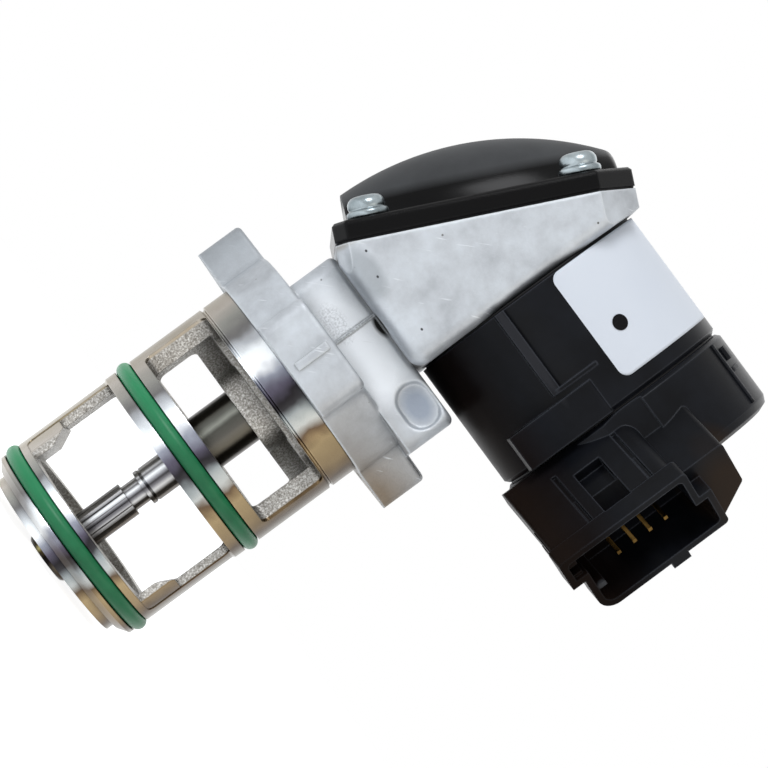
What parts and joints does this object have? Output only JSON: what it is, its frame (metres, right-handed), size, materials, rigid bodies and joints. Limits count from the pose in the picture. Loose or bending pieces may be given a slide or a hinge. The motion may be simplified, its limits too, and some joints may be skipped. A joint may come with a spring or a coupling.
{
  "type": "exhaust gas recirculation valve",
  "caption": "Electric exhaust gas recirculation valve: windowed steel cartridge with poppets and green seals, cast flange and gear case, round black motor and angled plug socket.",
  "frame": {"origin": "centre of the flange's mounting face, on the valve axis", "axes": "+Z along the valve axis from the cartridge to the drive, +X along the motor, +Y away from the side the plug socket leans to"},
  "size_m": [0.1263, 0.0814, 0.1667],
  "materials": {
    "cast_aluminium": "satin die-cast",
    "cast_steel": "investment cast, lands turned",
    "green_rubber": "smooth moulded",
    "bronze": "sintered",
    "black_rubber": "moulded",
    "bright_steel": "ground",
    "spring_steel": "drawn wire",
    "black_cover": "moulded, satin",
    "zinc_steel": "zinc plated",
    "gear_plastic": "moulded, natural",
    "black_plastic": "moulded, semi-gloss",
    "magnet": "ferrite",
    "core_steel": "stacked sheet",
    "copper_wire": "enamelled",
    "carbon": "pressed",
    "gold_pins": "gold plated",
    "board": "solder resist"
  },
  "bodies": {
    "housing": {"valve_housing": "cast_aluminium", "valve_cage": "cast_steel", "upper_o_ring": "green_rubber", "lower_o_ring": "green_rubber", "guide_bush": "bronze", "stem_seal": "black_rubber", "return_spring": "spring_steel", "cover_gasket": "black_rubber", "gear_cover": "black_cover", "cover_screws": "zinc_steel", "cam_gear_pin": "bright_steel", "idler_pin": "bright_steel", "pin_clips": "spring_steel", "motor_gasket": "black_rubber", "motor_housing": "black_plastic", "motor_can": "zinc_steel", "motor_screws": "zinc_steel", "motor_magnets": "magnet", "front_bearing": "bright_steel", "rear_bearing": "bright_steel", "brush_holder": "black_plastic", "brushes": "carbon", "end_cap_seal": "black_rubber", "end_cap": "black_plastic", "connector_pins": "gold_pins", "circuit_board": "board"},
    "valve": {"valve_stem": "bright_steel", "upper_poppet": "bright_steel", "lower_poppet": "bright_steel", "stem_nut": "bright_steel", "spring_retainer": "bright_steel", "roller_pin": "bright_steel"},
    "roller": {"cam_roller": "bright_steel"},
    "cam": {"cam_gear": "gear_plastic", "cam_gear_bush": "bronze"},
    "idler": {"idler_gear": "gear_plastic"},
    "rotor": {"motor_shaft": "bright_steel", "motor_pinion": "bronze", "armature_core": "core_steel", "armature_windings": "copper_wire", "commutator": "copper_wire", "sensor_magnet": "magnet"}
  },
  "joints": [
    {"name": "valve_lift", "type": "slide", "parent": "housing", "child": "valve", "axis": [0, 0, -1], "range_m": [0, 0.007], "stiffness_N_per_m": 3000, "springref_m": -0.01, "deforming": ["return_spring"]},
    {"name": "motor_turn", "type": "hinge", "parent": "housing", "child": "rotor", "pos_m": [0.03, 0, 0.058], "axis": [1, 0, 0], "range_deg": [0, 1296]},
    {"name": "cam_turn", "type": "hinge", "parent": "housing", "child": "cam", "pos_m": [0.0065, 0, 0.046], "axis": [1, 0, 0], "range_deg": [0, 90]},
    {"name": "idler_turn", "type": "hinge", "parent": "housing", "child": "idler", "pos_m": [0.008, 0.0118, 0.06516], "axis": [1, 0, 0], "range_deg": [-360, 0]},
    {"name": "roller_turn", "type": "hinge", "parent": "valve", "child": "roller", "pos_m": [0.0055, 0, 0.0396], "axis": [1, 0, 0], "continuous": true}
  ],
  "couplings": [
    {"joint": "motor_turn", "follows": "valve_lift", "rad_per_m": 3231.4},
    {"joint": "cam_turn", "follows": "valve_lift", "rad_per_m": 224.4},
    {"joint": "idler_turn", "follows": "valve_lift", "rad_per_m": -897.6}
  ]
}
